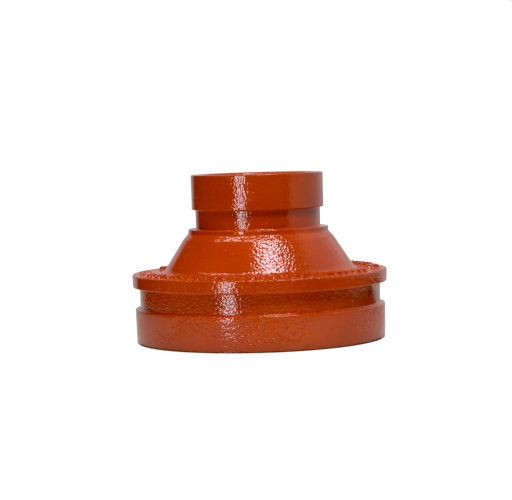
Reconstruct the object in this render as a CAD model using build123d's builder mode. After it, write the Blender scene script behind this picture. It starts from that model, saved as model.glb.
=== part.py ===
from build123d import *
from math import atan, cos, degrees, radians, tan
import os

# A grooved concentric reducer, cast in one piece with its axis upright. It stands on the face of its
# large end, with the origin at that face's centre and +Z towards the small end. Sizes are in millimetres.

# Overall length, from one end face to the other
end_to_end = 76.0

# Large end, for 114.3 pipe: gasket seat, coupling groove, and the wall from the seat to the bore
large_seat_diameter = 114.3
large_seat_length = 15.88
large_groove_width = 8.74
large_groove_depth = 2.2
large_wall = 6.65

# Small end, for 60.3 pipe: gasket seat, coupling groove, and the wall from the seat to the bore
small_seat_diameter = 60.3
small_seat_length = 15.88
small_groove_width = 8.74
small_groove_depth = 1.65
small_wall = 4.75

# Collar behind the large groove: how far it stands out past the seat, its height and its draft
collar_rise = 1.1
collar_height = 6.5
collar_draft_angle = 1.5

# Shoulder behind the small groove, and the steeper flare that leads down from it to the cone
shoulder_rise = 1.85
shoulder_height = 2.1
flare_height = 2.5
flare_half_angle = 43.0

# Ledge on top of the collar, from its rim in to the foot of the cone
ledge_width = 13.9

# Walls of the passage: square to the cone, and down from the ledge to the crown
cone_wall = 6.0
crown_wall = 6.5

# Raised plain bars on the ledge. They keep a margin to both sides of its flat, and stand in runs: the
# angle of each run's first bar, and how many bars the run has.
bar_margin = 2.7
bar_width = 2.1
bar_height = 1.3
bar_draft_angle = 12.0
bar_spacing_angle = 4.5
bar_run_angles = [-2.25, 16.5, 139.5, 181.5, 222, 307.5]
bar_run_counts = [3, 6, 3, 8, 17, 6]

# Moulded rounds, outside and in the passage
cone_foot_fillet = 4.5
cone_top_round = 3.0
crown_nose_round = 5.0
core_top_round = 5.0

# Chamfers on the edges, and the wide one that the core has in the corner of the crown
crown_chamfer = 3.0
seat_corner_chamfer = 0.9
collar_chamfer = 0.6
shoulder_chamfer = 0.5
small_groove_chamfer = 0.3
end_chamfer = 0.5
mouth_chamfer = 0.8

# Heights that follow from these sizes
large_groove_top = large_seat_length + large_groove_width
collar_top = large_groove_top + collar_height
small_groove_top = end_to_end - small_seat_length
shoulder_top = small_groove_top - small_groove_width
flare_top = shoulder_top - shoulder_height
cone_top = flare_top - flare_height
crown = collar_top - crown_wall

# Radii that follow from them
large_seat = large_seat_diameter / 2
large_groove = large_seat - large_groove_depth
large_bore = large_seat - large_wall
small_seat = small_seat_diameter / 2
small_groove = small_seat - small_groove_depth
small_bore = small_seat - small_wall
shoulder = small_seat + shoulder_rise
collar = large_seat + collar_rise
collar_underside = collar - collar_height * tan(radians(collar_draft_angle))

# The cone runs from its foot on the ledge up to the flare, and the passage one wall inside it
cone_foot = collar - ledge_width
cone_top_radius = shoulder + flare_height * tan(radians(flare_half_angle))
cone_slope = (cone_foot - cone_top_radius) / (cone_top - collar_top)
cone_half_angle = atan(cone_slope)
core_foot = cone_foot - cone_wall / cos(cone_half_angle) + crown_wall * cone_slope
core_top = crown + (core_foot - small_bore) / cone_slope

# The flat of the ledge lies between the fillet at the cone's foot and the collar's chamfer
flat_start = cone_foot + cone_foot_fillet * tan(radians(45 - degrees(cone_half_angle) / 2))
flat_end = collar - collar_chamfer
bar_length = flat_end - flat_start - 2 * bar_margin
bar_ring = (flat_start + flat_end) / 2

# Outside of the casting, from the large end's face up to the small end's: radius, height and round
outside = [
    (0, 0, 0),
    (large_seat, 0, 0),
    (large_seat, large_seat_length, 0),
    (large_groove, large_seat_length, 0),
    (large_groove, large_groove_top, 0),
    (collar_underside, large_groove_top, 0),
    (collar, collar_top, 0),
    (cone_foot, collar_top, cone_foot_fillet),
    (cone_top_radius, cone_top, cone_top_round),
    (shoulder, flare_top, 0),
    (shoulder, shoulder_top, 0),
    (small_groove, shoulder_top, 0),
    (small_groove, small_groove_top, 0),
    (small_seat, small_groove_top, 0),
    (small_seat, end_to_end, 0),
    (0, end_to_end, 0),
]

# Passage that the sand core leaves, in the same terms: large bore, crown, cone and small bore
passage = [
    (0, 0, 0),
    (large_bore, 0, 0),
    (large_bore, crown, 0),
    (core_foot, crown, crown_nose_round),
    (small_bore, core_top, core_top_round),
    (small_bore, end_to_end, 0),
    (0, end_to_end, 0),
]


def rim(radius, height):
    """The casting's circular edge at this radius and height."""
    circles = casting.edges().filter_by(GeomType.CIRCLE)
    return circles.sort_by(lambda edge: abs(edge.radius - radius) + abs(edge.arc_center.Z - height))[0]


with BuildPart() as casting:
    # The half section of the wall, turned about the axis
    with BuildSketch(Plane.XZ):
        with BuildLine():
            FilletPolyline(
                *[(radius, height) for radius, height, _ in outside],
                radius=[corner for _, _, corner in outside],
                close=True,
            )
        make_face()
        with BuildLine():
            FilletPolyline(
                *[(radius, height) for radius, height, _ in passage],
                radius=[corner for _, _, corner in passage],
                close=True,
            )
        make_face(mode=Mode.SUBTRACT)
    revolve(axis=Axis.Z)

    # Corner of the crown, and the broken edges of the seats, grooves, collar and mouths
    chamfer(rim(large_bore, crown), length=crown_chamfer)
    chamfer(rim(large_seat, large_seat_length), length=seat_corner_chamfer)
    chamfer([rim(collar_underside, large_groove_top), rim(collar, collar_top)], length=collar_chamfer)
    chamfer(rim(shoulder, shoulder_top), length=shoulder_chamfer)
    chamfer(rim(small_seat, small_groove_top), length=small_groove_chamfer)
    chamfer([rim(large_seat, 0), rim(small_seat, end_to_end)], length=end_chamfer)
    chamfer([rim(large_bore, 0), rim(small_bore, end_to_end)], length=mouth_chamfer)

    # Raised bars, in runs around the ledge
    for first_angle, count in zip(bar_run_angles, bar_run_counts):
        with BuildSketch(Plane.XY.offset(collar_top)):
            with PolarLocations(
                bar_ring,
                count,
                start_angle=first_angle,
                angular_range=(count - 1) * bar_spacing_angle,
                endpoint=True,
            ):
                Rectangle(bar_length, bar_width)
        extrude(amount=bar_height, taper=bar_draft_angle)

casting.part.label = "reducer"

os.makedirs("parts", exist_ok=True)
export_step(casting.part, "parts/reducer.step")
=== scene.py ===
import bmesh
import bpy
from math import atan2, ceil, cos, degrees, hypot, pi, radians, sin, sqrt, tan
from mathutils import Matrix, Vector, noise


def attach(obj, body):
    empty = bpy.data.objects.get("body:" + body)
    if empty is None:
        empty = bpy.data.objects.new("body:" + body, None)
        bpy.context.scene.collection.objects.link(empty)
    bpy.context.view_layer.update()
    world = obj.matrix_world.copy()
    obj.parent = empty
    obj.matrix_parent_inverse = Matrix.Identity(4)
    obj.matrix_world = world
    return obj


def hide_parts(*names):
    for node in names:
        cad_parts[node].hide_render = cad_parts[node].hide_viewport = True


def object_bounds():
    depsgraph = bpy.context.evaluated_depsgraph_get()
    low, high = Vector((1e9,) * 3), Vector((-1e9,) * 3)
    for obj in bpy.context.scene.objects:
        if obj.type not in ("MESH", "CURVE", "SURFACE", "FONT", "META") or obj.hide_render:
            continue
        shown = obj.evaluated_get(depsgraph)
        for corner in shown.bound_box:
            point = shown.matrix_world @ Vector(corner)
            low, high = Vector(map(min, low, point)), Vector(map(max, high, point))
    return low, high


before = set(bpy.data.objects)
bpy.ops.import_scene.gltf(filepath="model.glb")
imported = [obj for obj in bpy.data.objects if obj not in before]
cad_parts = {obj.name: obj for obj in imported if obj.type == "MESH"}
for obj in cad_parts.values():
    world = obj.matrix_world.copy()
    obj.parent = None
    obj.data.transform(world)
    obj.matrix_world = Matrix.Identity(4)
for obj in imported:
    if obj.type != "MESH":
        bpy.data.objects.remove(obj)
cad_low, cad_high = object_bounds()

# The casting: one piece of ductile iron, poured in a sand mould with a sand core for the passage. Its
# half section is drawn in the XZ plane, its corners are rounded, and it is turned about the axis.
# Widths are radii, and heights count from the face of the large end.
mm = 0.001
end_to_end = cad_high.z
large_seat = 57.15 * mm
large_seat_draft = 0.3 * mm
large_seat_length = 15.88 * mm
large_groove = large_seat - 2.2 * mm
large_groove_length = 9.8 * mm
large_bore = large_seat - 6.65 * mm
collar = large_seat + 1.1 * mm
collar_draft = 0.17 * mm
collar_height = 5.9 * mm
collar_bottom = large_seat_length + large_groove_length
ledge = collar_bottom + collar_height
cone_foot = collar - 14.2 * mm
cone_foot_round = 4.5 * mm
small_seat = 30.15 * mm
small_seat_length = 15.88 * mm
small_groove = small_seat - 1.65 * mm
small_groove_length = 8.74 * mm
small_bore = small_seat - 4.75 * mm
small_groove_top = end_to_end - small_seat_length
shoulder = small_seat + 1.85 * mm
shoulder_height = 2.1 * mm
shoulder_top = small_groove_top - small_groove_length
flare_top = shoulder_top - shoulder_height
flare_height = 2.5 * mm
flare_angle = radians(43)
cone_top = shoulder + flare_height * tan(flare_angle)
cone_top_height = flare_top - flare_height
cone_slope = (cone_foot - cone_top) / (cone_top_height - ledge)

# The core follows the cone one wall inside it, and meets the large bore at the crown
cone_wall = 6 * mm
crown_thickness = 7 * mm
crown = ledge - crown_thickness
core_foot = cone_foot - cone_wall * sqrt(1 + cone_slope**2) + crown_thickness * cone_slope
core_top = crown + (core_foot - small_bore) / cone_slope

# The raised bars on the ledge keep a margin to both sides of its flat
bar_margin = 2.7 * mm
edge_allowance = 0.6 * mm
cone_foot_reach = cone_foot_round * tan(radians(45) - atan2(cone_slope, 1) / 2)
bar_inner = cone_foot + cone_foot_reach + bar_margin
bar_outer = collar - edge_allowance - bar_margin

# Corners of the half section: radius, height, and the rounding that the mould and the paint leave there
outside_corners = [
    (large_seat - large_seat_draft, 0, 0.6 * mm),
    (large_seat, large_seat_length, 0.6 * mm),
    (large_groove, large_seat_length, 0.7 * mm),
    (large_groove, collar_bottom, 0.6 * mm),
    (collar - collar_draft, collar_bottom, 0.5 * mm),
    (collar, ledge, 0.7 * mm),
    (bar_outer, ledge, 0),
    (bar_inner, ledge, 0),
    (cone_foot, ledge, cone_foot_round),
    (cone_top, cone_top_height, 4 * mm),
    (shoulder, flare_top, 1.8 * mm),
    (shoulder, shoulder_top, 0.5 * mm),
    (small_groove, shoulder_top, 0.5 * mm),
    (small_groove, small_groove_top, 0.4 * mm),
    (small_seat, small_groove_top, 0.4 * mm),
    (small_seat, end_to_end, 0.5 * mm),
    (small_bore, end_to_end, 1.5 * mm),
]
passage_corners = [
    (small_bore, core_top, 5 * mm),
    (core_foot, crown, 5 * mm),
    (large_bore, crown, 3 * mm),
    (large_bore, 0, 0.8 * mm),
]
corner_steps = 3

casting_mesh = bmesh.new()
corners = outside_corners + passage_corners
section = [casting_mesh.verts.new((radius, 0, height)) for radius, height, _ in corners]
for start, end in zip(section, section[1:] + section[:1]):
    casting_mesh.edges.new((start, end))
for corner, (_, _, rounding) in zip(section, corners):
    if rounding:
        arms = [edge.other_vert(corner).co - corner.co for edge in corner.link_edges]
        turn = pi - arms[0].angle(arms[1])
        bmesh.ops.bevel(
            casting_mesh,
            geom=[corner],
            offset=rounding * tan(turn / 2),
            offset_type="OFFSET",
            segments=corner_steps,
            profile=0.5,
            affect="VERTICES",
            material=-1,
        )

# The straights get a ring about every millimetre outside, for the cast skin, and fewer in the passage
outside_pitch = 0.95 * mm
passage_pitch = 3 * mm
face_margin = 0.1 * mm
core_margin = 1 * mm


def in_passage(point):
    """True for a point of the half section that lies on the passage or on the large end's face."""
    core_wall = max(small_bore, core_foot - (point.z - crown) * cone_slope)
    wall = core_wall if point.z > crown else large_bore
    return point.z < face_margin or point.x < wall + core_margin


for edge in casting_mesh.edges[:]:
    middle = (edge.verts[0].co + edge.verts[1].co) / 2
    pitch = passage_pitch if in_passage(middle) else outside_pitch
    cuts = ceil(edge.calc_length() / pitch) - 1
    if cuts > 0:
        bmesh.ops.subdivide_edges(casting_mesh, edges=[edge], cuts=cuts)

# One sector is spun, and then doubled until it closes, which is much quicker than one full spin. It
# starts half a step back, so that the middle one of a bar's three faces lies on the bar's own angle.
spin_steps = 480
doublings = 5
sector = 2 * pi / 2**doublings
step = 2 * pi / spin_steps
tolerance = 0.001 * mm
bmesh.ops.rotate(
    casting_mesh, verts=casting_mesh.verts[:], cent=(0, 0, 0), matrix=Matrix.Rotation(-step / 2, 3, "Z")
)
bmesh.ops.spin(
    casting_mesh,
    geom=casting_mesh.verts[:] + casting_mesh.edges[:],
    cent=(0, 0, 0),
    axis=(0, 0, 1),
    dvec=(0, 0, 0),
    angle=sector,
    steps=spin_steps // 2**doublings,
    use_merge=False,
)
for doubling in range(doublings):
    whole = casting_mesh.verts[:] + casting_mesh.edges[:] + casting_mesh.faces[:]
    copied = bmesh.ops.duplicate(casting_mesh, geom=whole)["geom"]
    bmesh.ops.rotate(
        casting_mesh,
        verts=[part for part in copied if isinstance(part, bmesh.types.BMVert)],
        cent=(0, 0, 0),
        matrix=Matrix.Rotation(sector * 2**doubling, 3, "Z"),
    )
bmesh.ops.remove_doubles(casting_mesh, verts=casting_mesh.verts[:], dist=tolerance)
bmesh.ops.recalc_face_normals(casting_mesh, faces=casting_mesh.faces[:])

# Raised bars: they are cast with the body, from grooves in the mould, and stand on the collar's ledge.
# Each is three steps of the spin wide, with drafted sides and rounded rims. A run is given by the angle
# of its first bar, in degrees from +X towards +Y, and by its number of bars.
bar_height = 1.15 * mm
bar_draft = 0.4 * mm
bar_round = 0.3 * mm
bar_steps = 3
bar_spacing = 4.5
bar_runs = [(-2.25, 3), (16.5, 6), (139.5, 3), (181.5, 8), (222, 17), (307.5, 6)]
bar_angles = [first + place * bar_spacing for first, count in bar_runs for place in range(count)]


def under_bar(face):
    """True for a face of the ledge that one of the bars stands on."""
    centre = face.calc_center_median()
    angle = degrees(atan2(centre.y, centre.x))
    near = min(abs((angle - bar_angle + 180) % 360 - 180) for bar_angle in bar_angles)
    return near < bar_steps / 2 * degrees(step)


ledge_faces = []
for face in casting_mesh.faces:
    centre = face.calc_center_median()
    if abs(centre.z - ledge) < 10 * tolerance and bar_inner < hypot(centre.x, centre.y) < bar_outer:
        ledge_faces.append(face)
bar_tops = [face for face in ledge_faces if under_bar(face)]
bmesh.ops.inset_region(
    casting_mesh, faces=bar_tops, thickness=bar_draft, depth=bar_height, use_even_offset=True
)
tops = set(bar_tops)
rims = [edge for face in bar_tops for edge in face.edges if not tops.issuperset(edge.link_faces)]
bmesh.ops.bevel(
    casting_mesh,
    geom=rims,
    offset=bar_round,
    offset_type="OFFSET",
    segments=2,
    profile=0.5,
    affect="EDGES",
    material=-1,
)

# Cast skin: the sand leaves the iron slightly uneven, and the paint gathers on some sides more than on
# others. The skin moves the vertices, and three values on each vertex tell the enamel how strong its
# orange peel, its wrinkles and its pits are there.
skin_height = 0.05 * mm
skin_grain = 3.2 * mm
face_fade = 1.5 * mm
thin_coat = 0.3
pit_groups = 7
pit_side = radians(272)

# Zones from the large end up: top of the zone, peel, wrinkles, pits, skin, a side with the heaviest coat
# in degrees from +X towards +Y, and the number of such sides, where 0 is an even coat all round
zones = [
    (4 * mm, 0.4, 0.0, 0.2, 0.6, 256, 3),
    (large_seat_length - 0.4 * mm, 0.4, 0.0, 1.2, 0.6, 256, 3),
    (collar_bottom, 0.4, 0.35, 0.1, 0.6, 225, 1),
    (ledge - 0.5 * mm, 0.42, 0.0, 0.6, 0.3, 256, 4),
    (ledge + 0.5 * mm, 2.6, 0.0, 0.0, 1.5, 0, 0),
    (ledge + 1.3 * mm, 0.8, 0.0, 0.0, 0.8, 0, 0),
    (shoulder_top, 0.9, 0.0, 0.1, 0.8, 287, 3),
    (1.1 * end_to_end, 0.62, 0.0, 0.0, 0.8, 256, 2),
]
peel_share = casting_mesh.verts.layers.float.new("peel")
wrinkle_share = casting_mesh.verts.layers.float.new("wrinkles")
pit_share = casting_mesh.verts.layers.float.new("pits")
casting_mesh.normal_update()
for vert in casting_mesh.verts:
    zone = next(row for row in zones if vert.co.z <= row[0] + tolerance)
    _, peel, wrinkles, pits, skin, side, sides = zone
    around = atan2(vert.co.y, vert.co.x)
    heavy = max(0, cos(sides * (around - radians(side))))
    vert[peel_share] = peel * (thin_coat + (1 - thin_coat) * heavy)
    vert[wrinkle_share] = wrinkles * heavy
    vert[pit_share] = pits * (1 + cos(pit_groups * (around - pit_side))) / 2
    fade = min(1, vert.co.z / face_fade, (end_to_end - vert.co.z) / face_fade)
    vert.co += vert.normal * noise.noise(vert.co / skin_grain) * skin_height * skin * fade
casting_mesh.normal_update()

# The larger faces decide the shading, so that the straights look straight up to their rounded edges
shading = []
for vert in casting_mesh.verts:
    lean = Vector((0, 0, 0))
    for face in vert.link_faces:
        lean += face.normal * (face.calc_area() / mm**2) ** 3
    shading.append(lean.normalized())
for face in casting_mesh.faces:
    face.smooth = True


def add_object(name, data):
    """Puts a mesh, a lamp or a camera in the scene as a new object."""
    obj = bpy.data.objects.new(name, data)
    bpy.context.scene.collection.objects.link(obj)
    return obj


def mesh_object(name, shape):
    """Puts a finished bmesh in the scene as a new object, and frees it."""
    data = bpy.data.meshes.new(name)
    shape.to_mesh(data)
    shape.free()
    return add_object(name, data)


casting = mesh_object("casting", casting_mesh)
casting.data.normals_split_custom_set_from_vertices(shading)
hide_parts("reducer")
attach(casting, "root")


# Enamel: one thick sprayed coat of orange-red gloss paint, straight on the cast iron. It has dried with
# an orange-peel surface, with wrinkles in the large groove, pits where air came out of the iron, and a
# few grains of dust. Its colour and its gloss vary a little with the thickness of the coat.
def add_node(tree, kind, inputs=None, **settings):
    """Adds a node to a material or world; an input is either a value or another node's output."""
    node = tree.nodes.new("ShaderNode" + kind)
    for setting, value in settings.items():
        setattr(node, setting, value)
    for name, value in (inputs or {}).items():
        if isinstance(value, bpy.types.NodeSocket):
            tree.links.new(value, node.inputs[name])
        else:
            node.inputs[name].default_value = value
    return node


def add_range(tree, value, start, end, at_start, at_end, interpolation="LINEAR"):
    """Maps a value that runs from start to end to one that runs from at_start to at_end."""
    limits = {"From Min": start, "From Max": end, "To Min": at_start, "To Max": at_end}
    node = add_node(tree, "MapRange", {"Value": value, **limits}, interpolation_type=interpolation)
    return node.outputs["Result"]


def combine(tree, operation, first, second):
    """Works out one value from two, by the given operation of the Math node."""
    return add_node(tree, "Math", {0: first, 1: second}, operation=operation).outputs[0]


enamel = bpy.data.materials.new("orange_enamel")
enamel.use_nodes = True
tree = enamel.node_tree
place = add_node(tree, "TexCoord").outputs["Object"]
peel_strength = add_node(tree, "Attribute", attribute_name="peel").outputs["Fac"]
wrinkle_strength = add_node(tree, "Attribute", attribute_name="wrinkles").outputs["Fac"]
pit_strength = add_node(tree, "Attribute", attribute_name="pits").outputs["Fac"]

# Orange peel: small round domes. The scales count the cells to a metre.
peel_cells = add_node(
    tree, "TexVoronoi", {"Vector": place, "Scale": 900, "Smoothness": 0.3}, feature="SMOOTH_F1"
)
domes = combine(tree, "POWER", peel_cells.outputs["Distance"], 2)
peel_depth = combine(tree, "MULTIPLY", domes, peel_strength)

# Wrinkles: cells that are wider than high
stretched = add_node(tree, "Mapping", {"Vector": place, "Scale": (1, 1, 1.6)}).outputs["Vector"]
wrinkle_cells = add_node(
    tree, "TexVoronoi", {"Vector": stretched, "Scale": 800, "Smoothness": 0.7}, feature="SMOOTH_F1"
)
wrinkle_depth = combine(tree, "MULTIPLY", wrinkle_cells.outputs["Distance"], wrinkle_strength)

# Pits: flat dimples that stand in patches
flattened = add_node(tree, "Mapping", {"Vector": place, "Scale": (1, 1, 1.7)}).outputs["Vector"]
pit_cells = add_node(tree, "TexVoronoi", {"Vector": flattened, "Scale": 440})
pit_shape = add_range(tree, pit_cells.outputs["Distance"], 0, 0.45, 1, 0, "SMOOTHSTEP")
patches = add_node(tree, "TexNoise", {"Vector": place, "Scale": 50, "Detail": 1})
patch_strength = add_range(tree, patches.outputs["Fac"], 0.38, 0.52, 0, 1, "SMOOTHSTEP")
pit_patch = combine(tree, "MULTIPLY", pit_strength, patch_strength)
pit_depth = combine(tree, "MULTIPLY", pit_shape, pit_patch)

# Grains of dust under the paint
grains = add_node(tree, "TexVoronoi", {"Vector": place, "Scale": 220})
grain_depth = add_range(tree, grains.outputs["Distance"], 0, 0.13, -0.8, 0, "SMOOTHSTEP")

# Depths count inwards, so the bump is inverted, and a grain has a negative one
coat_depth = combine(tree, "ADD", peel_depth, wrinkle_depth)
speck_depth = combine(tree, "ADD", pit_depth, grain_depth)
relief = combine(tree, "ADD", coat_depth, speck_depth)
bump = add_node(tree, "Bump", {"Height": relief, "Strength": 1, "Distance": 0.18 * mm}, invert=True)

# Gloss: the heavy coat is the shiniest, and faint smears are duller
coat_roughness = add_range(tree, peel_strength, 0.2, 1, 0.09, 0.06)
smears = add_node(tree, "TexNoise", {"Vector": place, "Scale": 65, "Detail": 3})
dullness = add_range(tree, smears.outputs["Fac"], 0.52, 0.7, 0, 0.14)
roughness = combine(tree, "ADD", coat_roughness, dullness)

thin_orange = (0.42, 0.035, 0.0008, 1)
thick_orange = (0.49, 0.047, 0.001, 1)
coats = add_node(tree, "TexNoise", {"Vector": place, "Scale": 45, "Detail": 3, "Roughness": 0.6})
colour = add_node(tree, "ValToRGB", {"Fac": coats.outputs["Fac"]})
for end, position, paint in zip(colour.color_ramp.elements, (0.35, 0.7), (thin_orange, thick_orange)):
    end.position = position
    end.color = paint
shader = tree.nodes["Principled BSDF"]
shader.inputs["IOR"].default_value = 1.5
tree.links.new(colour.outputs["Color"], shader.inputs["Base Color"])
tree.links.new(roughness, shader.inputs["Roughness"])
tree.links.new(bump.outputs["Normal"], shader.inputs["Normal"])
casting.data.materials.append(enamel)


# Floor: a wide sheet of matt white, which the camera sees as an even ground without a horizon. What the
# paint mirrors near its foot is instead a glowing ring of white card, unseen by the camera, whose glow
# is a painted reflection of the lit floor. Its glow grows darker towards the back as painted shade, and
# its open middle leaves a dark band along the casting's foot as painted contact shade.
def pale_material(name, base, glow):
    """A matt white surface that gives off some light of its own."""
    material = bpy.data.materials.new(name)
    material.use_nodes = True
    paint = material.node_tree.nodes["Principled BSDF"]
    paint.inputs["Base Color"].default_value = (base, base, base, 1)
    paint.inputs["Roughness"].default_value = 1
    paint.inputs["Specular IOR Level"].default_value = 0
    paint.inputs["Emission Color"].default_value = (1, 1, 1, 1)
    paint.inputs["Emission Strength"].default_value = glow
    return material


def hide_from(obj, *rays):
    """Makes an object of the studio unseen by the named kinds of rays."""
    for ray in rays:
        setattr(obj, "visible_" + ray, False)


def add_sheet(name, outline, material):
    """A flat sheet with the given corners, which belongs to the studio and not to the casting."""
    shape = bmesh.new()
    shape.faces.new([shape.verts.new(corner) for corner in outline])
    sheet = mesh_object(name, shape)
    sheet.data.materials.append(material)
    return sheet


reach = 3
under = -0.3 * mm
floor = add_sheet(
    "floor",
    [(-reach, -reach, under), (reach, -reach, under), (reach, reach, under), (-reach, reach, under)],
    pale_material("pale_floor", 0.3, 0.93),
)
hide_from(floor, "glossy", "diffuse", "shadow")

# The ring's open middle, a little wider than the foot, is painted contact shade: the paint's lowest edge
# mirrors no glow there
card_inner = 0.06
card_outer = 0.19
card_shape = bmesh.new()
spoke_ends = [card_shape.verts.new((radius, 0, 0)) for radius in (card_inner, card_outer)]
spoke = card_shape.edges.new(spoke_ends)
bmesh.ops.spin(
    card_shape,
    geom=spoke_ends + [spoke],
    cent=(0, 0, 0),
    axis=(0, 0, 1),
    dvec=(0, 0, 0),
    angle=2 * pi,
    steps=96,
    use_merge=True,
)
card = mesh_object("card", card_shape)
floor_reflection_material = pale_material("painted_floor_reflection", 0, 0.95)
tree = floor_reflection_material.node_tree
card_place = add_node(tree, "SeparateXYZ", {0: add_node(tree, "TexCoord").outputs["Object"]})
# Painted shade: the ring's glow fades from the front to the back
painted_shade_fade = add_range(tree, card_place.outputs["Y"], -0.12, 0.06, 0.95, 0.55)
tree.links.new(painted_shade_fade, tree.nodes["Principled BSDF"].inputs["Emission Strength"])
card.data.materials.append(floor_reflection_material)
hide_from(card, "camera")

# Lights: a narrow upright strip at the left gives the bright stripe on the seats and the grooves, and a
# round lamp overhead the broad one on the cone. Two large softboxes only lighten the colour, one from
# above and one from behind. An azimuth of 0 is the camera's side, and 90 is to its right.
cool_white = (0.86, 1, 1.12)
warm_white = (1, 0.97, 0.94)
casting_middle = Vector((0, 0, 0.04))


def aim(obj, azimuth, elevation, distance):
    """Places a lamp round the casting, and turns it towards the casting's middle."""
    around, up = radians(azimuth), radians(elevation)
    out = Vector((sin(around) * cos(up), -cos(around) * cos(up), sin(up)))
    place = Matrix.Translation(casting_middle + out * distance)
    obj.matrix_world = place @ out.to_track_quat("Z", "Y").to_matrix().to_4x4()


def softbox(name, azimuth, elevation, distance, width, height, radiance):
    """A rectangular softbox that faces the casting."""
    lamp = bpy.data.lights.new(name, "AREA")
    lamp.shape = "RECTANGLE"
    lamp.size = width
    lamp.size_y = height
    lamp.energy = radiance * pi * width * height
    lamp.color = cool_white
    box = add_object(name, lamp)
    aim(box, azimuth, elevation, distance)
    hide_from(box, "camera")
    return box


softbox("strip", azimuth=-29, elevation=0, distance=0.9, width=0.125, height=0.55, radiance=13)
fills = [
    softbox("fill", azimuth=0, elevation=69, distance=1.2, width=1.2, height=0.6, radiance=3.8),
    softbox("back_fill", azimuth=180, elevation=38, distance=1.2, width=1.6, height=0.8, radiance=1.5),
]
for fill in fills:
    hide_from(fill, "glossy")
    fill.data.color = warm_white

overhead_angle = radians(24)
overhead_radiance = 15
sun_lamp = bpy.data.lights.new("overhead", "SUN")
sun_lamp.angle = overhead_angle
sun_lamp.color = cool_white
sun_lamp.energy = overhead_radiance * pi * sin(overhead_angle / 2) ** 2
sun = add_object("overhead", sun_lamp)
aim(sun, azimuth=27, elevation=65, distance=1)

# Panels: two glowing sheets that only the paint's gloss mirrors. The one at the right makes the right
# side of the casting pale. The thin one overhead draws the bright line across the top of the cone, and
# the glints on the ledge.
panel_x = 0.3
panel = add_sheet(
    "side_panel",
    [
        (panel_x, -0.223, 0.006),
        (panel_x, 0, 0),
        (panel_x, 0.19, 0),
        (panel_x, 0.26, -0.014),
        (panel_x, 0.5, -0.03),
        (panel_x, 0.5, 0.6),
        (panel_x, -0.01, 0.6),
    ],
    pale_material("side_panel", 0, 0.75),
)
strip_height = 1
top_strip = add_sheet(
    "top_strip",
    [
        (0.1, -0.45, strip_height),
        (0.1, -0.35, strip_height),
        (-0.8, 0.2, strip_height),
        (-0.8, 0.15, strip_height),
    ],
    pale_material("top_strip", 0, 11),
)
for sheet in (panel, top_strip):
    hide_from(sheet, "camera", "diffuse", "shadow")

# Backdrop: white to the camera. The paint mirrors a dark room instead, with a pale wall behind the
# casting that both of its outer edges catch.
world = bpy.data.worlds.new("studio")
bpy.context.scene.world = world
world.use_nodes = True
tree = world.node_tree
direction = add_node(tree, "SeparateXYZ", {0: add_node(tree, "TexCoord").outputs["Generated"]})
pale_wall = add_range(tree, direction.outputs["Y"], 0.79, 0.85, 0.01, 0.55, "SMOOTHSTEP")
seen = add_node(tree, "LightPath")
strength = add_node(
    tree, "Mix", {"Factor": seen.outputs["Is Camera Ray"], "A": pale_wall, "B": 1.0}, data_type="FLOAT"
)
background = tree.nodes["Background"]
background.inputs["Color"].default_value = (1, 1, 1, 1)
tree.links.new(strength.outputs["Result"], background.inputs["Strength"])

# Camera: it stands 0.83 m in front of the casting, a little above the small end, with the long lens and
# the slight tilt to the side that the photograph has. It looks along +Y.
camera_distance = 833.1 * mm
camera_height = 92.1 * mm
camera_turn = radians(0.089)
camera_dip = radians(-3.52)
camera_roll = radians(-1.688)
image_width = 512
focal_length_in_pixels = 1822.5

camera = add_object("camera", bpy.data.cameras.new("camera"))
camera.data.sensor_width = 36
camera.data.lens = focal_length_in_pixels / image_width * camera.data.sensor_width
camera.matrix_world = (
    Matrix.Translation((0, -camera_distance, camera_height))
    @ Matrix.Rotation(camera_turn, 4, "Z")
    @ Matrix.Rotation(pi / 2 + camera_dip, 4, "X")
    @ Matrix.Rotation(camera_roll, 4, "Z")
)
bpy.context.scene.camera = camera

# The picture's darkest tones have almost no green or blue, as in the photograph
view = bpy.context.scene.view_settings
view.view_transform = "Standard"
view.use_curve_mapping = True
view.curve_mapping.black_level = (0, 0.008, 0.018)
view.curve_mapping.update()
bpy.context.scene.cycles.use_denoising = True
